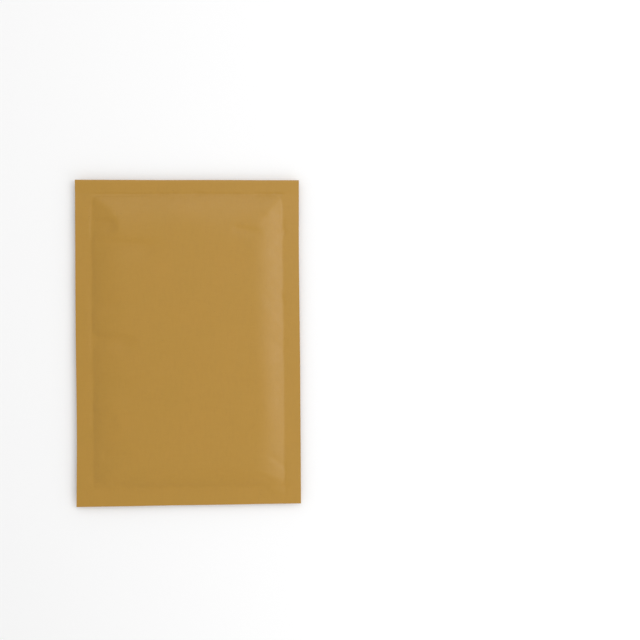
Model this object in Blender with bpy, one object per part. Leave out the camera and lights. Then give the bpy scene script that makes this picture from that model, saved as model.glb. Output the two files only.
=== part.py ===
"""A small padded envelope of brown kraft paper, lying on its back with its flap folded behind.

The cover is one sheet of paper: the front panel, folded at the bottom into the back panel, and
folded at the top into the flap. Flat heat seals join front and back along both sides and along
the bottom. A pocket of bubble film fills it, open at the mouth, which is the back panel's top
edge. The flap lies folded under the back panel, with its adhesive strip and release liner.

Metres, +X across the envelope, +Y towards the flap's fold, +Z out of the front face. The origin
is under the middle, on the surface that the envelope lies on.
"""
import math

import bmesh
import bpy
import numpy as np

MM = 0.001

# Outside size, with the flap folded behind.
WIDTH = 120.0 * MM
HEIGHT = 175.0 * MM

# Paper, seals and flap.
PAPER = 0.2 * MM            # thickness of the kraft sheet
SEAL = 8.0 * MM             # width of the flat seals at both sides and the bottom
BORDER = 7.5 * MM           # plain paper between the end of the padding and the flap's fold
SEAL_SPLIT = 0.15 * MM      # half the distance between the two sheets' middles in a seal
FLAP = 48.0 * MM            # length of the flap, from its fold to its free edge
TOP_FOLD_RADIUS = 0.5 * MM
BOTTOM_FOLD_RADIUS = SEAL_SPLIT

# Heights above the surface that the envelope lies on.
SEAL_Z = 3.4 * MM           # middle of the side and bottom seals
CROWN_TOP_Z = 6.7 * MM      # middle of the front sheet, on the pad near the flap's fold
CROWN_BOTTOM_Z = 6.0 * MM   # the same, near the bottom seal
BACK_OVER_FLAP_Z = 1.5 * MM     # middle of the back sheet where it lies over the flap
MOUTH_LIFT = 0.8 * MM       # how much the back sheet rises at the mouth
MOUTH_RAMP = 12.0 * MM      # length over which it rises

# The pad's rounded shoulders, beside the seals.
SHOULDER = 15.0 * MM
SHOULDER_STATIONS = (0.0, 0.08, 0.17, 0.3, 0.47, 0.7, 1.0)
PANEL_STEP = 19.0 * MM      # distance between grid lines on the pad's flat middle
BACK_STEP = 15.0 * MM       # length over which the back sheet comes down behind the flap's edge
STEP_CLEARANCE = 1.0 * MM   # from the end of that step to the flap's edge
STEP_LINES = 6              # grid lines on that step
STEP_MARGIN = 2.0 * MM      # no other grid line is closer to the step than this

# The fused core of the seals, a little smaller than the seals themselves.
CORE_INSET = 0.1 * MM
CORE_BOTTOM_INSET = 0.3 * MM    # more at the bottom, where the sheet's fold is round
CORE_HALF_THICKNESS = 0.12 * MM

# Lining, adhesive and release liner.
GAP = 0.3 * MM              # between pieces that lie on each other
LINING_LINES = slice(2, -2) # the pad's grid lines that the lining keeps, two in from its edges
SLIT = 0.4 * MM             # opening between the lining's front and back layers
SLIT_MARGIN = 4.0 * MM      # lining that stays closed around the slit
ADHESIVE_SIZE = (112.0 * MM, 18.0 * MM, 0.15 * MM)
LINER_SIZE = (119.0 * MM, 23.0 * MM, 0.15 * MM)
STRIP_FROM_FLAP_EDGE = 17.0 * MM    # from the flap's free edge to the middle of both strips

# Places that follow from the sizes above.
SIDE = WIDTH / 2
END = HEIGHT / 2
PAD_X = SIDE - SEAL                 # the pad's edge at both sides
PAD_LOW_Y = -END + SEAL             # the pad's edge at the bottom
PAD_HIGH_Y = END - BORDER           # the pad's edge at the mouth, and the back panel's end
FLAP_EDGE_Y = END - FLAP
FLAP_DROP = 18.0 * MM               # length over which the flap comes down from its fold
FLAP_RAMP = FLAP_DROP - 0.6 * MM    # the sloping part of it, which ends at the fold's roundness


def smooth_step(t):
    """0 to 1 along 3t^2 - 2t^3, flat at both ends."""
    t = np.clip(t, 0.0, 1.0)
    return t * t * (3.0 - 2.0 * t)


def shoulder(distance):
    """Height of the pad beside a seal, as a share of the crown: steep at the seal, then level."""
    return 1.0 - (1.0 - np.clip(distance / SHOULDER, 0.0, 1.0)) ** 3


def side_and_bottom_rise(x, y):
    """The pad's share of its full height, between the side seals and above the bottom seal."""
    return shoulder(PAD_X - np.abs(x)) * shoulder(y - PAD_LOW_Y)


def front_middle(x, y):
    """Height of the middle of the front sheet."""
    crown = CROWN_BOTTOM_Z + (CROWN_TOP_Z - CROWN_BOTTOM_Z) * smooth_step((y + END) / HEIGHT)
    rise = side_and_bottom_rise(x, y) * shoulder(PAD_HIGH_Y - y)
    return SEAL_Z + SEAL_SPLIT + (crown - SEAL_Z - SEAL_SPLIT) * rise


def back_middle(x, y):
    """Height of the middle of the back sheet: flat below the flap's edge, and over the flap."""
    step_start = FLAP_EDGE_Y - BACK_STEP
    over_flap = smooth_step((y - step_start) / (BACK_STEP - STEP_CLEARANCE))
    level = PAPER / 2 + (BACK_OVER_FLAP_Z - PAPER / 2) * over_flap
    level = level + MOUTH_LIFT * smooth_step((y - (PAD_HIGH_Y - MOUTH_RAMP)) / MOUTH_RAMP)
    low = SEAL_Z - SEAL_SPLIT
    return low + (level - low) * side_and_bottom_rise(x, y)


def flap_middle(y):
    """Height of the middle of the flap: down from its fold, then flat on the surface."""
    fold_z = SEAL_Z + SEAL_SPLIT - 2 * TOP_FOLD_RADIUS
    start = END - FLAP_DROP
    return PAPER / 2 + (fold_z - PAPER / 2) * smooth_step((y - start) / FLAP_RAMP)


def stations(low, high):
    """Grid lines from low to high: close together on the two shoulders, wide apart between."""
    rising = [low + SHOULDER * s for s in SHOULDER_STATIONS]
    falling = [high - SHOULDER * s for s in reversed(SHOULDER_STATIONS)]
    count = round((falling[0] - rising[-1]) / PANEL_STEP) + 1
    middle = np.linspace(rising[-1], falling[0], count)[1:-1]
    return np.concatenate([rising, middle, falling])


def pad_lines():
    """The pad's grid lines across and along it, with more where the back sheet steps down."""
    ys = stations(PAD_LOW_Y, PAD_HIGH_Y)
    step = np.linspace(FLAP_EDGE_Y - BACK_STEP, FLAP_EDGE_Y - STEP_CLEARANCE, STEP_LINES)
    clear = np.abs(ys - step.mean()) > BACK_STEP / 2 + STEP_MARGIN
    return stations(-PAD_X, PAD_X), np.sort(np.concatenate([ys[clear], step]))


def grid_faces(rows, columns, flip=False):
    """Quads of a grid whose points are numbered row by row."""
    faces = []
    for r in range(rows - 1):
        for c in range(columns - 1):
            a = r * columns + c
            quad = (a, a + 1, a + columns + 1, a + columns)
            faces.append(quad[::-1] if flip else quad)
    return faces


def new_object(name, points, faces):
    """A mesh object from points and faces, with its faces made to point outwards."""
    mesh = bpy.data.meshes.new(name)
    mesh.from_pydata([tuple(map(float, p)) for p in points], [], faces)
    work = bmesh.new()
    work.from_mesh(mesh)
    bmesh.ops.recalc_face_normals(work, faces=work.faces)
    work.to_mesh(mesh)
    work.free()
    obj = bpy.data.objects.new(name, mesh)
    bpy.context.collection.objects.link(obj)
    return obj


def fold_row(x, centre_y, centre_z, radius, angle):
    """One line of the sheet on a fold: a point at the angle round the fold's axis."""
    y = centre_y + radius * math.cos(angle)
    z = centre_z + radius * math.sin(angle)
    return np.stack([x, np.full_like(x, y), np.full_like(x, z)], axis=1)


def panel_rows(x, ys, height):
    """Lines of the sheet along one panel, whose height is a function of x and y."""
    return [np.stack([x, np.full_like(x, y), height(x, np.full_like(x, y))], axis=1) for y in ys]


def folded_sheet():
    """The kraft sheet's middle surface: flap, fold, front panel, fold, back panel."""
    pad_x, pad_y = pad_lines()
    x = np.concatenate([[-SIDE], pad_x, [SIDE]])
    top_y = END - PAPER / 2 - TOP_FOLD_RADIUS
    top_z = SEAL_Z + SEAL_SPLIT - TOP_FOLD_RADIUS
    bottom_y = -END + PAPER / 2 + BOTTOM_FOLD_RADIUS
    flat_flap_y = [FLAP_EDGE_Y, END - FLAP_DROP]
    sloping_flap_y = np.linspace(END - FLAP_DROP, top_y, 7)[1:-1]

    rows = panel_rows(x, [*flat_flap_y, *sloping_flap_y], lambda _, y: flap_middle(y))
    rows += [fold_row(x, top_y, top_z, TOP_FOLD_RADIUS, math.radians(a))
             for a in range(-90, 91, 30)]
    rows += panel_rows(x, pad_y[::-1], front_middle)
    rows += [fold_row(x, bottom_y, SEAL_Z, BOTTOM_FOLD_RADIUS, math.radians(a))
             for a in range(90, 271, 45)]
    rows += panel_rows(x, pad_y, back_middle)
    return new_object("kraft_cover", np.concatenate(rows), grid_faces(len(rows), len(x)))


def seal_frame():
    """The fused core of the two side seals and the bottom seal: a flat U, between the sheets."""
    outer_x, inner_x = SIDE - CORE_INSET, PAD_X + CORE_INSET
    low_y, high_y = -END + CORE_BOTTOM_INSET, PAD_HIGH_Y - CORE_INSET
    inner_y = PAD_LOW_Y - CORE_INSET
    outline = [(-outer_x, low_y), (outer_x, low_y), (outer_x, high_y), (inner_x, high_y),
               (inner_x, inner_y), (-inner_x, inner_y), (-inner_x, high_y), (-outer_x, high_y)]
    half = CORE_HALF_THICKNESS
    mesh = bpy.data.meshes.new("seal_core")
    work = bmesh.new()
    face = work.faces.new([work.verts.new((x, y, SEAL_Z - half)) for x, y in outline])
    raised = bmesh.ops.extrude_face_region(work, geom=[face])["geom"]
    top = [v for v in raised if isinstance(v, bmesh.types.BMVert)]
    bmesh.ops.translate(work, verts=top, vec=(0, 0, 2 * half))
    bmesh.ops.recalc_face_normals(work, faces=work.faces)
    work.to_mesh(mesh)
    work.free()
    obj = bpy.data.objects.new("seal_core", mesh)
    bpy.context.collection.objects.link(obj)
    hide_tool(obj)
    return obj


def hide_tool(obj):
    """Mark an object as a tool for a Boolean, not a piece of the envelope."""
    obj.hide_render = True
    obj.display_type = "WIRE"


def add_boolean(obj, operation, tool):
    """Cut a tool out of an object, or join it to the object."""
    boolean = obj.modifiers.new(tool.name, "BOOLEAN")
    boolean.operation = operation
    boolean.solver = "EXACT"
    boolean.object = tool


def kraft_cover():
    """The paper cover: the folded sheet given its thickness, with its seals fused."""
    cover = folded_sheet()
    thickness = cover.modifiers.new("paper_thickness", "SOLIDIFY")
    thickness.thickness = PAPER
    thickness.offset = 0.0
    thickness.use_even_offset = True
    add_boolean(cover, "UNION", seal_frame())
    return cover


def bubble_lining():
    """The pocket of bubble film: it fills the cover, and a slit opens it at the mouth."""
    # The lining keeps the cover's own grid lines, so their facets run side by side.
    xs, ys = (lines[LINING_LINES] for lines in pad_lines())
    grid_x, grid_y = np.meshgrid(xs, ys)
    # Paper and gap are measured across the sheet, so on a slope they take more height.
    clearance = PAPER / 2 + GAP
    top = front_middle(grid_x, grid_y) - clearance * slope_stretch(front_middle, grid_x, grid_y)
    base = back_middle(grid_x, grid_y) + clearance * slope_stretch(back_middle, grid_x, grid_y)

    count = grid_x.size
    points = [np.stack([grid_x.ravel(), grid_y.ravel(), z.ravel()], axis=1) for z in (top, base)]
    faces = grid_faces(len(ys), len(xs))
    faces += [tuple(i + count for i in f) for f in grid_faces(len(ys), len(xs), flip=True)]
    columns = len(xs)
    rim = list(range(columns))
    rim += [r * columns + columns - 1 for r in range(1, len(ys))]
    rim += [(len(ys) - 1) * columns + c for c in range(columns - 2, -1, -1)]
    rim += [r * columns for r in range(len(ys) - 2, 0, -1)]
    for a, b in zip(rim, rim[1:] + rim[:1]):
        faces.append((a, a + count, b + count, b))
    lining = new_object("bubble_lining", np.concatenate(points), faces)

    slit_x = xs[-1] - SLIT_MARGIN
    slot = box("pocket_slit", (-slit_x, ys[0] + SLIT_MARGIN, SEAL_Z - SLIT / 2),
               (slit_x, END, SEAL_Z + SLIT / 2))
    hide_tool(slot)
    add_boolean(lining, "DIFFERENCE", slot)
    return lining


def slope_stretch(height, x, y, step=0.5 * MM):
    """How much longer than its thickness a sloping layer is when it is measured upright."""
    slope_x = (height(x + step, y) - height(x - step, y)) / (2 * step)
    slope_y = (height(x, y + step) - height(x, y - step)) / (2 * step)
    return np.sqrt(1.0 + slope_x ** 2 + slope_y ** 2)


def box(name, low, high):
    """A plain block between two corners."""
    mesh = bpy.data.meshes.new(name)
    work = bmesh.new()
    bmesh.ops.create_cube(work, size=1.0)
    for vert in work.verts:
        vert.co = [low[i] + (vert.co[i] + 0.5) * (high[i] - low[i]) for i in range(3)]
    work.to_mesh(mesh)
    work.free()
    obj = bpy.data.objects.new(name, mesh)
    bpy.context.collection.objects.link(obj)
    return obj


def flap_strip(name, size, bottom_z):
    """A flat strip across the flap's inner face."""
    middle_y = FLAP_EDGE_Y + STRIP_FROM_FLAP_EDGE
    low = (-size[0] / 2, middle_y - size[1] / 2, bottom_z)
    high = (size[0] / 2, middle_y + size[1] / 2, bottom_z + size[2])
    return box(name, low, high)


def give_material(obj, name, colour, roughness):
    """One Principled material for one piece; the colour is linear."""
    material = bpy.data.materials.new(name)
    material.use_nodes = True
    shader = material.node_tree.nodes["Principled BSDF"]
    shader.inputs["Base Color"].default_value = (*colour, 1.0)
    shader.inputs["Roughness"].default_value = roughness
    shader.inputs["Metallic"].default_value = 0.0
    material.diffuse_color = (*colour, 1.0)
    obj.data.materials.append(material)


def shade_soft(obj):
    """Smooth shading on the rounded pad, sharp at the folds and cut edges."""
    obj.data.shade_smooth()
    obj.data.set_sharp_from_angle(angle=math.radians(30))


def build():
    for old in list(bpy.data.objects):
        bpy.data.objects.remove(old)
    cover = kraft_cover()
    lining = bubble_lining()
    adhesive_z = PAPER + GAP
    liner_z = adhesive_z + ADHESIVE_SIZE[2] + GAP
    adhesive = flap_strip("adhesive_strip", ADHESIVE_SIZE, adhesive_z)
    liner = flap_strip("release_liner", LINER_SIZE, liner_z)
    give_material(cover, "kraft_paper", (0.42, 0.22, 0.03), 0.5)
    give_material(lining, "bubble_film", (0.80, 0.82, 0.83), 0.25)
    give_material(adhesive, "hot_melt_adhesive", (0.75, 0.68, 0.48), 0.35)
    give_material(liner, "silicone_paper", (0.86, 0.86, 0.83), 0.4)
    shade_soft(cover)
    shade_soft(lining)


build()
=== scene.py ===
"""Looks of a small padded envelope: brown kraft paper over a pocket of bubble film.

The envelope lies on its back, +X across it, +Y towards the flap's fold and +Z out of its front
face. Every surface is a function of x and y on a grid of whole arrays, and neighbouring patches
share their border points, so that each piece is one closed skin.
"""

import math

import bmesh
import bpy
import numpy as np
from mathutils import Euler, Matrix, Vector


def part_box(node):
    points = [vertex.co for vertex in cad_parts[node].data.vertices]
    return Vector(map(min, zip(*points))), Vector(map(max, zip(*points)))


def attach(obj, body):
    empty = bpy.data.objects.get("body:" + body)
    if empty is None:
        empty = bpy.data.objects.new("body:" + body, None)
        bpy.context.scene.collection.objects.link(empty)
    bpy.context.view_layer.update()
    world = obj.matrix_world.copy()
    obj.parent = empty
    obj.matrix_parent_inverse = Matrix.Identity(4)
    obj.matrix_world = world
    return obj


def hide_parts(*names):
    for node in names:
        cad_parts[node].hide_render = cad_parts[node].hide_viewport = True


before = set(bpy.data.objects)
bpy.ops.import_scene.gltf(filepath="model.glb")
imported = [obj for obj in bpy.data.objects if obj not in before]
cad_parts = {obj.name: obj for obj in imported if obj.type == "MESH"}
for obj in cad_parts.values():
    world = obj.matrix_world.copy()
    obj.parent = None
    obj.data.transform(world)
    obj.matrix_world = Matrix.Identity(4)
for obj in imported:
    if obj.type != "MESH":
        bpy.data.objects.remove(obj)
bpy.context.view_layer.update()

MM = 0.001
BODY = "root"

# The cover's box gives the outside size; the middle of the envelope is at x = y = 0.
COVER_LOW, COVER_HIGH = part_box("kraft_cover")
SIDE = (COVER_HIGH.x - COVER_LOW.x) / 2
END = (COVER_HIGH.y - COVER_LOW.y) / 2
CROWN_Z = COVER_HIGH.z

# Kraft sheet, seals, border and flap.
PAPER = 0.2 * MM
SEAL = 8.0 * MM                 # flat seals at both sides and the bottom
BORDER = 7.5 * MM               # plain paper between the lining's end and the flap's fold
SEAL_Z = 3.4 * MM               # height of the seals' middle
CROWN_DROP = 0.65 * MM          # how much lower the pad is at the bottom than at the top
CROWN_CLEARANCE = 0.1 * MM      # from the pad's top to the top of the frame's box
FLAP_FOLD_RADIUS = 0.6 * MM     # outside of the fold
FLAP_MARGIN = 5.5 * MM          # bare paper between the release liner and the flap's edge
FLAP_EDGE_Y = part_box("release_liner")[0].y - FLAP_MARGIN
FLAP_DROP = 18.0 * MM           # length over which the flap comes down from its fold
BACK_OVER_FLAP = 0.8 * MM       # clear height under the back panel where the flap lies
BACK_STEP = 15.0 * MM           # how far before the flap's edge the back panel starts to rise
BACK_STEP_RUN = 13.0 * MM       # length over which it rises
MOUTH_LIFT = 1.2 * MM           # how much further it rises at the mouth
MOUTH_RUN = 14.0 * MM           # length over which it does

PAD_X = SIDE - SEAL
PAD_LOW_Y = -END + SEAL
PAD_HIGH_Y = END - BORDER
SEAL_DENT = 0.18 * MM           # the most that a crease presses into a seal or the border
BORDER_TILT = 0.55 * MM         # how much the front's top border rises towards the flap's fold

# Fine relief of the front panel.
BUBBLE_PRINT = 0.012 * MM       # how far the bubbles show through the paper
SLACK_RELIEF = 0.035 * MM       # slow unevenness of the paper
BORDER_CREASE = 0.14 * MM       # depth of the crease along the lining's end

# Each shoulder of the pad: its length, the hollow at its foot, and how fast it levels out.
FRONT_SHOULDERS = {
    "left": (23.0 * MM, 1.6 * MM, 1.8),
    "right": (17.0 * MM, 2.2 * MM, 1.1),
    "bottom": (14.0 * MM, 3.0 * MM, 1.3),
    "top": (24.0 * MM, 1.2 * MM, 1.6),
}
BACK_SHOULDERS = {
    "left": (17.0 * MM, 1.5 * MM, 1.4),
    "right": (17.0 * MM, 1.5 * MM, 1.4),
    "bottom": (14.0 * MM, 1.0 * MM, 1.3),
}

# Creases of the front panel, in mm: start x, y, end x, y, depth, then how wide the groove is on
# the left and on the right of that direction. A negative depth is a ridge.
FRONT_CREASES = [
    # the left seal's puckers, from the top down: steep above, long and gentle below
    (-51.5, 72.6, -40.0, 69.0, 0.30, 2.4, 3.0),
    (-51.5, 64.6, -37.0, 64.2, 1.10, 2.2, 6.5),
    (-48.0, 54.2, -13.0, 51.6, 0.52, 2.5, 8.5),
    (-51.5, 21.0, -36.0, 19.0, 0.30, 4.0, 3.0),
    (-51.0, 2.8, -27.5, 1.2, 0.95, 2.2, 5.5),
    (-52.0, -20.5, -29.0, -22.5, 0.28, 3.2, 6.0),
    (-52.0, -39.0, -37.0, -40.0, 0.32, 2.4, 4.5),
    (-46.0, -59.5, -28.0, -61.0, 0.34, 2.6, 4.5),
    # the foot of the left shoulder, where it is crisper
    (-51.8, 31.0, -51.5, -8.0, 0.16, 0.6, 1.2),
    (-51.4, -32.0, -51.3, -48.0, 0.10, 0.6, 1.0),
    # the right shoulder
    (25.0, 61.6, 41.0, 58.6, 0.24, 1.6, 3.2),
    (51.5, 62.0, 38.0, 68.0, 0.30, 3.2, 3.0),
    (51.0, 25.0, 40.0, 21.0, 0.16, 4.5, 3.2),
    (51.5, -67.4, 42.0, -60.5, 0.16, 1.5, 1.7),
    (52.0, -4.0, 40.0, 3.0, 0.10, 4.0, 4.0),
    # the lower right corner
    (53.0, -78.0, 38.0, -72.5, 0.20, 1.9, 1.5),
    (43.0, -78.9, 50.5, -81.0, -0.12, 1.2, 1.5),
    (51.6, -68.0, 51.4, -84.0, 0.08, 0.6, 0.8),
    # the lower left corner, and the foot of the bottom shoulder
    (-52.5, -72.0, -43.0, -78.5, 0.26, 2.4, 1.8),
    (-41.0, -75.8, -32.0, -76.0, 0.16, 1.6, 1.4),
    (-28.0, -77.6, -22.0, -77.6, 0.18, 1.2, 0.9),
    (-10.0, -77.9, 30.0, -77.3, 0.08, 1.2, 0.8),
    # dashes of the crease where the lining ends, and small marks on the border
    (-50.0, 79.2, -19.0, 79.3, 0.16, 0.9, 0.8),
    (-16.4, 80.0, -9.6, 80.0, 0.24, 0.6, 0.6),
    (-9.0, 80.3, -5.6, 80.2, 0.18, 0.55, 0.55),
    (3.4, 80.5, 10.8, 80.0, 0.24, 0.6, 0.6),
    (11.0, 80.0, 21.4, 80.1, 0.16, 0.55, 0.55),
    (22.4, 80.0, 28.6, 80.1, 0.18, 0.55, 0.55),
    (37.0, 80.1, 46.5, 80.0, 0.18, 0.6, 0.6),
    (46.8, 80.0, 51.8, 80.0, 0.24, 0.6, 0.6),
    (-58.5, 65.6, -54.8, 65.3, 0.12, 0.5, 0.6),
    (52.2, 61.5, 52.2, 57.0, 0.14, 0.9, 0.9),
]

# Steps of the cover's grid: at creases, at the shoulders' feet, over the shoulders, and between.
CREASE_STEP = 0.28 * MM
FINE_STEP = 0.4 * MM
MID_STEP = 0.7 * MM
WIDE_STEP = 1.15 * MM

# Bubbles of the lining.
BUBBLE_PITCH = 10.4 * MM
BUBBLE_RADIUS = 4.7 * MM
FILM = 0.08 * MM
FILM_GAP = 0.3 * MM             # between the two layers' flat films
LINING_CLEARANCE = 0.12 * MM    # between the bubbles' tops and the paper
LINING_INSET = 1.2 * MM         # from the seals to the lining's edge
LINING_END_INSET = 1.6 * MM     # the same at the mouth
FILM_EDGE = 3                   # grid lines from the lining's edge to its opening

# The two strips on the flap: the height of each one's underside, its thickness, and how far its
# long edges waver.
ADHESIVE_Z = PAPER + 0.02 * MM
ADHESIVE = 0.12 * MM
ADHESIVE_WAVER = 0.5 * MM
LINER_Z = PAPER + 0.18 * MM
LINER = 0.1 * MM
LINER_WAVER = 0.05 * MM


def smooth_step(t):
    """0 to 1 along 3t^2 - 2t^3, flat at both ends."""
    t = np.clip(t, 0.0, 1.0)
    return t * t * (3.0 - 2.0 * t)


def ripple(x, y, seed, length, waves=9, stretch=1.0):
    """Soft random relief from about -1 to 1: a sum of cosines whose directions, phases and
    wavelengths, 0.6 to 1.6 times length, are drawn from the seed. Stretch lengthens it along x."""
    rng = np.random.default_rng(seed)
    total = np.zeros(np.broadcast(x, y).shape)
    for _ in range(waves):
        turn, phase = rng.uniform(0.0, 2.0 * math.pi, 2)
        wave = length * rng.uniform(0.6, 1.6)
        along = (x / stretch) * math.cos(turn) + y * math.sin(turn)
        total += np.cos(2.0 * math.pi * along / wave + phase)
    return total / math.sqrt(2.0 * waves)


def shoulder(distance, length, foot, power):
    """Share of the pad's height at a distance in from a seal. The slope grows along 3u^2 - 2u^3
    over the foot, then falls as (1 - t)^power to zero at the shoulder's full length."""
    d = np.clip(distance, 0.0, length)
    u = np.clip(d / foot, 0.0, 1.0)
    t = np.clip((d - foot) / (length - foot), 0.0, 1.0)
    run = (length - foot) / (power + 1.0)
    height = foot * (u ** 3 - u ** 4 / 2.0) + run * (1.0 - (1.0 - t) ** (power + 1.0))
    return height / (foot / 2.0 + run)


def joined_shoulders(shares, sharpness=5.0):
    """Shoulders met at their hips: 1 minus the p-norm of what each lacks, never below 0."""
    lacking = sum((1.0 - s) ** sharpness for s in shares) ** (1.0 / sharpness)
    return np.clip(1.0 - lacking, 0.0, 1.0)


def side_distances(x, y):
    """How far a point is in from the left, right and bottom seals, and from the top border. The
    side seals' inner edges waver a little."""
    return {
        "left": x + PAD_X + 0.25 * MM * ripple(y, 0.0 * y, 15, 30.0 * MM, 6),
        "right": PAD_X - x + 0.15 * MM * ripple(y, 0.0 * y, 16, 34.0 * MM, 6),
        "bottom": y - PAD_LOW_Y + 0.12 * MM * ripple(x, 0.0 * x, 17, 30.0 * MM, 6),
        "top": PAD_HIGH_Y - y,
    }


def front_rise(x, y):
    """Share of the front's full height, with shoulders a little longer and shorter by turns."""
    away = side_distances(x, y)
    shares = []
    for seed, (side, (length, foot, power)) in enumerate(FRONT_SHOULDERS.items()):
        along = y if side in ("left", "right") else x
        length = length * (1.0 + 0.14 * ripple(along, 0.0 * along, 20 + seed, 45.0 * MM, 5))
        shares.append(shoulder(away[side], length, foot, power))
    return joined_shoulders(shares)


def back_rise(x, y):
    """Share of the back's full height; the back has no shoulder at the mouth."""
    away = side_distances(x, y)
    shares = [shoulder(away[side], *size) for side, size in BACK_SHOULDERS.items()]
    return joined_shoulders(shares, 4.0)


def seam_level(x, y):
    """Height of the plane where front and back sheets meet in the seals, slightly wavy."""
    edge = smooth_step((np.maximum(np.abs(x) / SIDE, np.abs(y) / END) - 0.6) / 0.4)
    return SEAL_Z + 0.16 * MM * edge * ripple(x, y, 3, 55.0 * MM)


def groove(x, y, start_x, start_y, end_x, end_y, depth, left_width, right_width):
    """One crease from start to end, all in mm: across it a bell with its own width on each side,
    along it a quick start and a long fade that ends at the end point."""
    run_x, run_y = (end_x - start_x) * MM, (end_y - start_y) * MM
    run = math.hypot(run_x, run_y)
    off_x, off_y = x - start_x * MM, y - start_y * MM
    along = (off_x * run_x + off_y * run_y) / run ** 2
    across = (off_y * run_x - off_x * run_y) / run
    width = np.where(across > 0.0, left_width, right_width) * MM
    fade = smooth_step(along / 0.15 + 0.5) * smooth_step((1.08 - along) / 0.45)
    return -depth * MM * fade * np.exp(-(across / width) ** 2)


def bubble_print(x, y):
    """The lining's bubbles, just felt through the paper: three cosines at 60 degrees."""
    wave = 2.0 * math.pi / (BUBBLE_PITCH * math.sqrt(3.0) / 2.0)
    total = sum(np.cos(wave * (x * math.sin(a) + y * math.cos(a)))
                for a in (0.0, math.pi / 3.0, 2.0 * math.pi / 3.0))
    return BUBBLE_PRINT * total / 3.0


def border_crease(x, y):
    """The faint crease all along the lining's end: a narrow groove, deeper in some stretches."""
    line = PAD_HIGH_Y + 0.15 * MM * ripple(x, 0.0 * x, 31, 26.0 * MM)
    strength = 0.5 + 0.5 * smooth_step(0.5 + ripple(x, 0.0 * x, 32, 22.0 * MM))
    inside = smooth_step((PAD_X + 1.0 * MM - np.abs(x)) / (5.0 * MM))
    return strength * inside * np.exp(-((y - line) / (0.5 * MM)) ** 2)


def front_outer(x, y):
    """Outside of the front panel: seam level, paper, the pad's rise, its fine relief, and its
    creases, which a hyperbolic tangent keeps under the deepest that the place allows."""
    rise = front_rise(x, y)
    along = smooth_step((y + END) / (2.0 * END))
    crown = CROWN_Z - CROWN_CLEARANCE - CROWN_DROP * (1.0 - along)
    base = seam_level(x, y) + PAPER
    relief = bubble_print(x, y) + SLACK_RELIEF * ripple(x, y, 5, 24.0 * MM, 12, 1.5)
    creases = sum(groove(x, y, *crease) for crease in FRONT_CREASES)
    deepest = SEAL_DENT + 0.6 * (crown - base) * rise
    creases = deepest * np.tanh(creases / deepest) - BORDER_CREASE * border_crease(x, y)
    border = BORDER_TILT * np.clip((y - PAD_HIGH_Y) / BORDER, 0.0, 1.0)
    return base + (crown - base) * rise + relief * smooth_step(rise * 4.0) + creases + border


def back_outer(x, y):
    """Outside of the back panel: it lies flat below the flap's edge, and over the flap above."""
    over_flap = smooth_step((y - (FLAP_EDGE_Y - BACK_STEP)) / BACK_STEP_RUN)
    level = BACK_OVER_FLAP * over_flap
    level = level + MOUTH_LIFT * smooth_step((y - (PAD_HIGH_Y - MOUTH_RUN)) / MOUTH_RUN)
    base = seam_level(x, y) - PAPER
    rise = back_rise(x, y)
    slack = 0.09 * MM * (1.0 + ripple(x, y, 7, 26.0 * MM)) * smooth_step((1.0 - rise) * 4.0)
    return np.maximum(base + (level - base) * rise + slack * smooth_step(rise * 5.0), level)


def flap_outer(x, y):
    """Outside of the flap, which faces down: from its fold to the surface it lies on."""
    start = END - FLAP_DROP
    fold_z = seam_level(x, np.full_like(x, END)) + PAPER + BORDER_TILT - 2.0 * FLAP_FOLD_RADIUS
    run = END - FLAP_FOLD_RADIUS - start
    return fold_z * smooth_step((y - start) / run)


def outline(x, y):
    """Where a point of the flat blank comes to lie: the padding pulls both side edges in by up to
    half a millimetre, each along its own bell, and every cut edge wavers a little."""
    left = 0.5 * MM * np.exp(-((y + 48.0 * MM) / (38.0 * MM)) ** 2)
    right = 0.3 * MM * np.exp(-((y - 44.0 * MM) / (36.0 * MM)) ** 2)
    waver = 0.05 * MM * ripple(y, 0.0 * y, 11, 34.0 * MM, 5)
    share = np.clip(np.abs(x) / SIDE, 0.0, 1.0) ** 2
    moved_x = x + share * np.where(x < 0.0, left, -right - np.abs(waver))
    end_waver = 0.06 * MM * np.abs(ripple(x, 0.0 * x, 12, 40.0 * MM, 5))
    moved_y = y - np.sign(y) * end_waver * np.clip(np.abs(y) / END, 0.0, 1.0) ** 8
    return moved_x, moved_y


def lines(*stretches):
    """Grid lines over stretches that follow each other: each is its start, end and step."""
    parts = [np.linspace(low, high, max(round(abs(high - low) / step), 1) + 1)
             for low, high, step in stretches]
    return np.concatenate([parts[0]] + [part[1:] for part in parts[1:]])


def patch(x, y, z):
    """A patch of surface: rows by columns of points, from arrays that broadcast together."""
    return np.stack(np.broadcast_arrays(x, y, z), axis=-1)


def sheet_patch(x_line, y_line, height):
    """A patch of the sheet over x_line by y_line, laid out by the outline, at height(x, y)."""
    x, y = np.meshgrid(x_line, y_line)
    moved_x, moved_y = outline(x, y)
    return patch(moved_x, moved_y, height(x, y))


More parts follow.
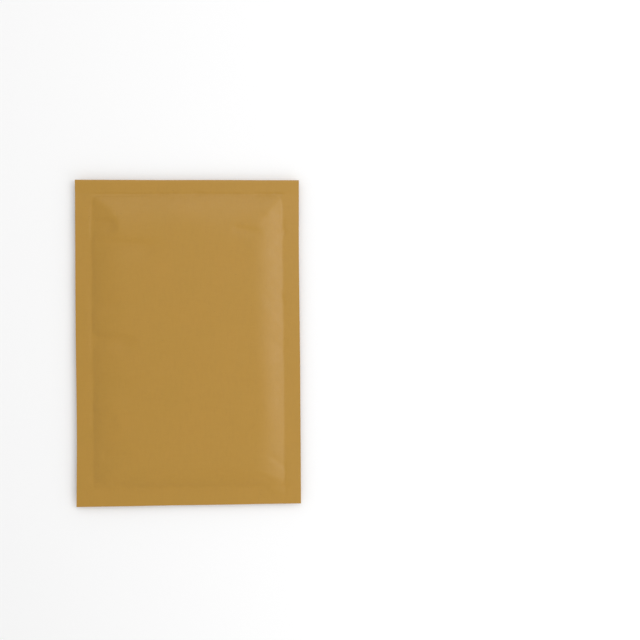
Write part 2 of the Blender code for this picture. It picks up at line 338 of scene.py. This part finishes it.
def skin(name, patches, merge=0.004 * MM):
    """One closed mesh from patches: their quads, with shared border points merged and all faces
    turned outwards."""
    points, quads, first = [], [], 0
    for p in patches:
        rows, columns = p.shape[:2]
        index = first + np.arange(rows * columns).reshape(rows, columns)
        quads.append(np.stack([index[:-1, :-1], index[:-1, 1:], index[1:, 1:], index[1:, :-1]],
                              axis=-1).reshape(-1, 4))
        points.append(p.reshape(-1, 3))
        first += rows * columns
    mesh = bpy.data.meshes.new(name)
    mesh.from_pydata(np.concatenate(points).tolist(), [], np.concatenate(quads).tolist())
    work = bmesh.new()
    work.from_mesh(mesh)
    bmesh.ops.remove_doubles(work, verts=work.verts, dist=merge)
    bmesh.ops.dissolve_degenerate(work, edges=work.edges, dist=merge / 4.0)
    bmesh.ops.recalc_face_normals(work, faces=work.faces)
    work.to_mesh(mesh)
    work.free()
    obj = bpy.data.objects.new(name, mesh)
    bpy.context.scene.collection.objects.link(obj)
    return obj


def arc_rows(x_line, centre_y, centre_z, radius, angles):
    """Rows of the sheet round a fold: centre plus radius times (cos, sin) of each angle, where
    centre_z has one value for each column."""
    x, angle = np.meshgrid(x_line, np.radians(angles))
    y = centre_y + radius * np.cos(angle)
    moved_x, moved_y = outline(x, y)
    return patch(moved_x, moved_y, centre_z[None, :] + radius * np.sin(angle))


def kraft_cover():
    """The paper cover as one closed skin: back panel, bottom fold, front panel, flap fold and
    flap outside; flap, border and pocket inside; and the cut edges between them."""
    pad_x = lines((-PAD_X, -PAD_X + 3.0 * MM, FINE_STEP), (-PAD_X + 3.0 * MM, -36.0 * MM, MID_STEP),
                  (-36.0 * MM, 36.0 * MM, WIDE_STEP), (36.0 * MM, PAD_X - 3.0 * MM, MID_STEP),
                  (PAD_X - 3.0 * MM, PAD_X, FINE_STEP))
    seal_x = lines((PAD_X, PAD_X + 1.2 * MM, FINE_STEP), (PAD_X + 1.2 * MM, SIDE, WIDE_STEP))
    all_x = np.concatenate([-seal_x[:0:-1], pad_x, seal_x[1:]])
    closed_y = lines((-END + PAPER, PAD_LOW_Y - 3.0 * MM, WIDE_STEP),
                     (PAD_LOW_Y - 3.0 * MM, PAD_LOW_Y, MID_STEP),
                     (PAD_LOW_Y, -62.0 * MM, MID_STEP), (-62.0 * MM, 48.0 * MM, WIDE_STEP),
                     (48.0 * MM, PAD_HIGH_Y - 3.0 * MM, MID_STEP),
                     (PAD_HIGH_Y - 3.0 * MM, PAD_HIGH_Y, CREASE_STEP))
    border_y = lines((PAD_HIGH_Y, PAD_HIGH_Y + 1.5 * MM, CREASE_STEP),
                     (PAD_HIGH_Y + 1.5 * MM, END - FLAP_FOLD_RADIUS, 1.2 * MM))
    pocket_y = lines((PAD_LOW_Y, PAD_HIGH_Y, 2.2 * MM))
    start = END - FLAP_DROP
    flap_y = lines((END - FLAP_FOLD_RADIUS, start, 1.4 * MM), (start, FLAP_EDGE_Y, 2.5 * MM))

    seam_low = seam_level(all_x, np.full_like(all_x, -END))
    fold_z = front_outer(all_x, np.full_like(all_x, END - FLAP_FOLD_RADIUS)) - FLAP_FOLD_RADIUS
    flap_angles = np.linspace(90.0, -90.0, 9)
    back = sheet_patch(all_x, closed_y, back_outer)
    front = sheet_patch(all_x, closed_y, front_outer)
    bottom_angles = np.linspace(270.0, 90.0, 7)
    bottom = arc_rows(all_x, -END + PAPER, seam_low, PAPER, bottom_angles)
    # The seam level wavers, so the bottom fold takes its ends from the panels themselves.
    bottom[0], bottom[-1] = back[0], front[0]
    border = sheet_patch(all_x, border_y, front_outer)
    fold = arc_rows(all_x, END - FLAP_FOLD_RADIUS, fold_z, FLAP_FOLD_RADIUS, flap_angles)
    fold[0] = border[-1]
    flap = sheet_patch(all_x, flap_y, flap_outer)
    flap[0] = fold[-1]

    def inner(outer, shift):
        """The sheet's other side: the same rows, moved by the paper's thickness."""
        return outer + np.array([0.0, 0.0, shift])

    border_in = inner(border, -PAPER)
    fold_in = arc_rows(all_x, END - FLAP_FOLD_RADIUS, fold_z, FLAP_FOLD_RADIUS - PAPER, flap_angles)
    fold_in[0] = border_in[-1]
    flap_in = inner(flap, PAPER)
    flap_in[0] = fold_in[-1]

    in_pad = np.abs(all_x) <= PAD_X + 1e-9
    front_in = inner(sheet_patch(all_x[in_pad], pocket_y, front_outer), -PAPER)
    back_in = inner(sheet_patch(all_x[in_pad], pocket_y, back_outer), PAPER)
    # The two inner faces never touch, apart from the pad's edge, where they meet in the seam.
    back_in[..., 2] = np.minimum(back_in[..., 2], front_in[..., 2] - 0.02 * MM)
    for side in (np.s_[:, 0], np.s_[:, -1], np.s_[0, :]):
        back_in[side] = front_in[side]
    front_in[-1] = border_in[0][in_pad]

    mouth_top = border_in[0].copy()
    mouth_top[in_pad] = back_in[-1]
    patches = [back, bottom, front, border, fold, flap, border_in, fold_in, flap_in,
               front_in, back_in, np.stack([back[-1], mouth_top]), np.stack([flap[-1], flap_in[-1]])]
    for column in (0, -1):
        seam = inner(front[:, column], -PAPER)
        patches.append(np.stack([back[:, column], seam, front[:, column]]))
        half = len(bottom_angles) // 2
        lower, upper = bottom[:half + 1, column], bottom[:half - 1:-1, column]
        middle = upper.copy()
        middle[:, 2] = seam[0, 2]
        middle[-1] = upper[-1]
        patches.append(np.stack([lower, middle, upper]))
        for outer, inside in ((border, border_in), (fold, fold_in), (flap, flap_in)):
            patches.append(np.stack([outer[:, column], inside[:, column]]))
    return skin("kraft_cover_skin", patches)


def bubble_height(x, y):
    """Height of the bubble field as a share of a full bubble: rounded domes, flat between, on a
    hexagonal lattice. Each dome is the square root of 1 - (r / R)^4."""
    row_step = BUBBLE_PITCH * math.sqrt(3.0) / 2.0
    best = np.full(np.broadcast(x, y).shape, 1e9)
    for shift in (0.0, 1.0):
        row = 2.0 * np.round((y / row_step - shift) / 2.0) + shift
        column = np.round(x / BUBBLE_PITCH - shift / 2.0) + shift / 2.0
        best = np.minimum(best, np.hypot(x - column * BUBBLE_PITCH, y - row * row_step))
    return np.sqrt(np.clip(1.0 - (best / BUBBLE_RADIUS) ** 4, 0.0, 1.0))


def bubble_lining():
    """The pocket of bubble film as one closed skin: bubbles against both panels, and flat films
    facing each other across a narrow opening that ends at the mouth."""
    edge_x = PAD_X - LINING_INSET
    low_y, high_y = PAD_LOW_Y + LINING_INSET, PAD_HIGH_Y - LINING_END_INSET
    x_line = np.linspace(-edge_x, edge_x, 101)
    y_line = np.linspace(low_y, high_y, 153)
    x, y = np.meshgrid(x_line, y_line)
    ceiling = front_outer(x, y) - PAPER - LINING_CLEARANCE
    ground = back_outer(x, y) + PAPER + LINING_CLEARANCE
    middle = (ceiling + ground) / 2.0
    half_room = np.maximum((ceiling - ground) / 2.0, 0.04 * MM)
    film = np.minimum(FILM_GAP / 2.0 + FILM, 0.7 * half_room)
    half_gap = np.minimum(FILM_GAP / 2.0, 0.6 * film)
    domes = bubble_height(x, y)
    far_domes = bubble_height(x + BUBBLE_PITCH / 2.0, y)
    upper = patch(x, y, middle + film + (half_room - film) * domes)
    lower = patch(x, y, middle - film - (half_room - film) * far_domes)
    inset = slice(FILM_EDGE, -FILM_EDGE)
    slit_up = patch(x, y, middle + half_gap)[FILM_EDGE:, inset]
    slit_down = patch(x, y, middle - half_gap)[FILM_EDGE:, inset]
    for side in (np.s_[:, 0], np.s_[:, -1], np.s_[0, :]):
        slit_down[side] = slit_up[side]
    level = patch(x, y, middle)
    inner_up, inner_down = level[-1].copy(), level[-1].copy()
    inner_up[inset], inner_down[inset] = slit_up[-1], slit_down[-1]
    patches = [upper, lower, slit_up, slit_down,
               np.stack([upper[-1], inner_up]), np.stack([lower[-1], inner_down])]
    for side in (np.s_[:, 0], np.s_[:, -1], np.s_[0, :]):
        patches.append(np.stack([lower[side], level[side], upper[side]]))
    return skin("bubble_lining_film", patches)


def flat_strip(name, node, base_z, thickness, waver, seed):
    """A thin strip on the flap, over its node's outline: both long edges waver, the faces are
    level, and the cut edges close it."""
    low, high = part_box(node)
    x_line = np.linspace(low.x, high.x, 160)
    across = np.linspace(-1.0, 1.0, 24)
    x, share = np.meshgrid(x_line, across)
    half = (high.y - low.y) / 2.0
    edge = waver * (ripple(x, 0.0 * x, seed, 18.0 * MM, 6) - 1.0) / 2.0
    y = (low.y + high.y) / 2.0 + share * (half + edge)
    crown = thickness * (1.0 - 0.35 * np.abs(share) ** 6)
    top, base = patch(x, y, base_z + crown), patch(x, y, base_z + 0.0 * x)
    patches = [top, base]
    for side in (np.s_[:, 0], np.s_[:, -1], np.s_[0, :], np.s_[-1, :]):
        patches.append(np.stack([top[side], base[side]]))
    return skin(name, patches)


def node_maker(material):
    """Short ways to add and link shader nodes in one material."""
    nodes, links = material.node_tree.nodes, material.node_tree.links

    def add(kind, inputs=None, **settings):
        node = nodes.new(kind)
        for name, value in settings.items():
            setattr(node, name, value)
        for name, value in (inputs or {}).items():
            if isinstance(value, bpy.types.NodeSocket):
                links.new(value, node.inputs[name])
            else:
                node.inputs[name].default_value = value
        return node

    return add


def new_material(name):
    """An empty node material with its Principled shader."""
    material = bpy.data.materials.new(name)
    material.use_nodes = True
    shader = material.node_tree.nodes["Principled BSDF"]
    return material, shader, node_maker(material), material.node_tree.links


def kraft_material():
    """Brown kraft: a cloudy sheet with fibres laid across the envelope, flecks of dark and pale
    pulp, a fine felt relief and a weak calendered gloss."""
    material, shader, add, link = new_material("brown_kraft_paper")
    place = add("ShaderNodeTexCoord").outputs["Object"]

    def noise(scale, detail, stretch=(1.0, 1.0, 1.0), roughness=0.55):
        mapped = add("ShaderNodeMapping", {"Vector": place, "Scale": stretch}).outputs["Vector"]
        return add("ShaderNodeTexNoise", {"Vector": mapped, "Scale": scale, "Detail": detail,
                                          "Roughness": roughness}).outputs["Fac"]

    def ramp(value, low, high, to_low=0.0, to_high=1.0):
        return add("ShaderNodeMapRange", {"Value": value, "From Min": low, "From Max": high,
                                          "To Min": to_low, "To Max": to_high}).outputs["Result"]

    def mix(factor, first, second, blend="MIX"):
        node = add("ShaderNodeMix", data_type="RGBA", blend_type=blend)
        for socket, value in ((node.inputs[0], factor), (node.inputs[6], first),
                              (node.inputs[7], second)):
            if isinstance(value, bpy.types.NodeSocket):
                link.new(value, socket)
            else:
                socket.default_value = value
        return node.outputs[2]

    clouds = noise(70.0, 3.0)
    fibres = noise(900.0, 4.0, (0.18, 1.0, 1.0), 0.7)
    cross_fibres = noise(700.0, 3.0, (1.0, 0.3, 1.0), 0.65)
    colour = mix(ramp(clouds, 0.3, 0.7), (0.413, 0.2165, 0.0150, 1.0), (0.423, 0.2185, 0.0160, 1.0))
    colour = mix(ramp(fibres, 0.35, 0.7, 0.0, 0.16), colour, (0.46, 0.255, 0.030, 1.0))
    colour = mix(ramp(cross_fibres, 0.45, 0.75, 0.0, 0.12), colour, (0.30, 0.148, 0.010, 1.0))
    dark_pulp = noise(1500.0, 1.0, (0.35, 1.0, 1.0))
    colour = mix(ramp(dark_pulp, 0.76, 0.84, 0.0, 0.35), colour, (0.20, 0.095, 0.008, 1.0))
    link.new(colour, shader.inputs["Base Color"])
    gloss = ramp(noise(240.0, 3.0), 0.3, 0.7, 0.42, 0.48)
    link.new(gloss, shader.inputs["Roughness"])
    shader.inputs["Specular IOR Level"].default_value = 0.65

    felt = add("ShaderNodeBump", {"Height": fibres, "Strength": 0.35, "Distance": 0.00006})
    tooth = add("ShaderNodeBump", {"Height": noise(2600.0, 3.0), "Strength": 0.3,
                                   "Distance": 0.00003, "Normal": felt.outputs["Normal"]})
    link.new(tooth.outputs["Normal"], shader.inputs["Normal"])
    return material


def film_material():
    """Bubble film: thin clear polyethylene, milky where its layers overlap."""
    material, shader, add, link = new_material("bubble_film")
    place = add("ShaderNodeTexCoord").outputs["Object"]
    haze = add("ShaderNodeTexNoise", {"Vector": place, "Scale": 300.0, "Detail": 4.0})
    spread = add("ShaderNodeMapRange", {"Value": haze.outputs["Fac"], "From Min": 0.3,
                                        "From Max": 0.7, "To Min": 0.12, "To Max": 0.24})
    link.new(spread.outputs["Result"], shader.inputs["Roughness"])
    shader.inputs["Base Color"].default_value = (0.83, 0.86, 0.88, 1.0)
    shader.inputs["Transmission Weight"].default_value = 0.45
    shader.inputs["IOR"].default_value = 1.5
    return material


def adhesive_material():
    """Hot-melt: a pale amber, glossy film with small waves from the nozzle."""
    material, shader, add, link = new_material("hot_melt_adhesive")
    place = add("ShaderNodeTexCoord").outputs["Object"]
    waves = add("ShaderNodeTexNoise", {"Vector": place, "Scale": 400.0, "Detail": 2.0})
    relief = add("ShaderNodeBump", {"Height": waves.outputs["Fac"], "Strength": 0.4,
                                    "Distance": 0.0001})
    link.new(relief.outputs["Normal"], shader.inputs["Normal"])
    shader.inputs["Base Color"].default_value = (0.72, 0.62, 0.40, 1.0)
    shader.inputs["Roughness"].default_value = 0.22
    return material


def liner_material():
    """Release paper: off-white and smooth, with a silicone gloss and a faint cloudiness."""
    material, shader, add, link = new_material("silicone_paper")
    place = add("ShaderNodeTexCoord").outputs["Object"]
    clouds = add("ShaderNodeTexNoise", {"Vector": place, "Scale": 250.0, "Detail": 4.0})
    tone = add("ShaderNodeValToRGB", {"Fac": clouds.outputs["Fac"]})
    tone.color_ramp.elements[0].color = (0.80, 0.79, 0.74, 1.0)
    tone.color_ramp.elements[1].color = (0.88, 0.875, 0.84, 1.0)
    link.new(tone.outputs["Color"], shader.inputs["Base Color"])
    shader.inputs["Roughness"].default_value = 0.32
    return material


def dress(obj, node, material):
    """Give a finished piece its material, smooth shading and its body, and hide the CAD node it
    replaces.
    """
    obj.data.materials.append(material)
    obj.data.shade_smooth()
    obj.data.set_sharp_from_angle(angle=math.radians(40.0))
    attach(obj, BODY)
    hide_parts(node)
    return obj


def floor():
    """A plain pale floor at the level the envelope lies on."""
    mesh = bpy.data.meshes.new("floor")
    half = 60.0
    corners = [(-half, -half, 0.0), (half, -half, 0.0), (half, half, 0.0), (-half, half, 0.0)]
    mesh.from_pydata(corners, [], [(0, 1, 2, 3)])
    obj = bpy.data.objects.new("floor", mesh)
    bpy.context.scene.collection.objects.link(obj)
    material, shader, _, _ = new_material("pale_floor")
    shader.inputs["Base Color"].default_value = (0.94, 0.94, 0.94, 1.0)
    shader.inputs["Roughness"].default_value = 0.9
    mesh.materials.append(material)


def area_light(name, azimuth, zenith, distance, size, power):
    """A square soft light aimed at the envelope, azimuth from +X towards +Y, in degrees."""
    light = bpy.data.lights.new(name, "AREA")
    light.shape = "SQUARE"
    light.size = size
    light.energy = power
    a, z = math.radians(azimuth), math.radians(zenith)
    direction = Vector((math.sin(z) * math.cos(a), math.sin(z) * math.sin(a), math.cos(z)))
    obj = bpy.data.objects.new(name, light)
    obj.location = direction * distance
    obj.rotation_euler = direction.to_track_quat("Z", "Y").to_euler()
    bpy.context.scene.collection.objects.link(obj)


def studio():
    """Soft white surroundings, a key light from the envelope's right, a weaker one from beyond
    its top, and a low fill from its lower right."""
    world = bpy.data.worlds.new("white_studio")
    world.use_nodes = True
    background = world.node_tree.nodes["Background"]
    background.inputs["Color"].default_value = (1.0, 1.0, 1.0, 1.0)
    background.inputs["Strength"].default_value = 0.70
    bpy.context.scene.world = world
    area_light("key_softbox", 12.0, 37.0, 0.9, 0.5, 2.15)
    area_light("upper_softbox", 86.0, 38.0, 0.9, 0.5, 1.0)
    area_light("low_fill", -45.0, 62.0, 0.6, 0.33, 0.5)


def camera():
    """A 50 mm camera nearly straight above, right of the envelope and tilted back towards it, so
    that the envelope stands left of the picture's middle."""
    data = bpy.data.cameras.new("camera")
    data.lens = 50.0
    data.sensor_width = 36.0
    obj = bpy.data.objects.new("camera", data)
    obj.location = (46.5 * MM, 6.3 * MM, 484.8 * MM)
    obj.rotation_euler = Euler([math.radians(a) for a in (0.645, -2.898, -0.379)])
    bpy.context.scene.collection.objects.link(obj)
    bpy.context.scene.camera = obj


bpy.context.scene.view_settings.view_transform = "Standard"
camera()
studio()
floor()
dress(kraft_cover(), "kraft_cover", kraft_material())
lining = dress(bubble_lining(), "bubble_lining", film_material())
dress(flat_strip("adhesive_band", "adhesive_strip", ADHESIVE_Z, ADHESIVE, ADHESIVE_WAVER, 41),
      "adhesive_strip", adhesive_material())
dress(flat_strip("release_liner_strip", "release_liner", LINER_Z, LINER, LINER_WAVER, 42),
      "release_liner", liner_material())
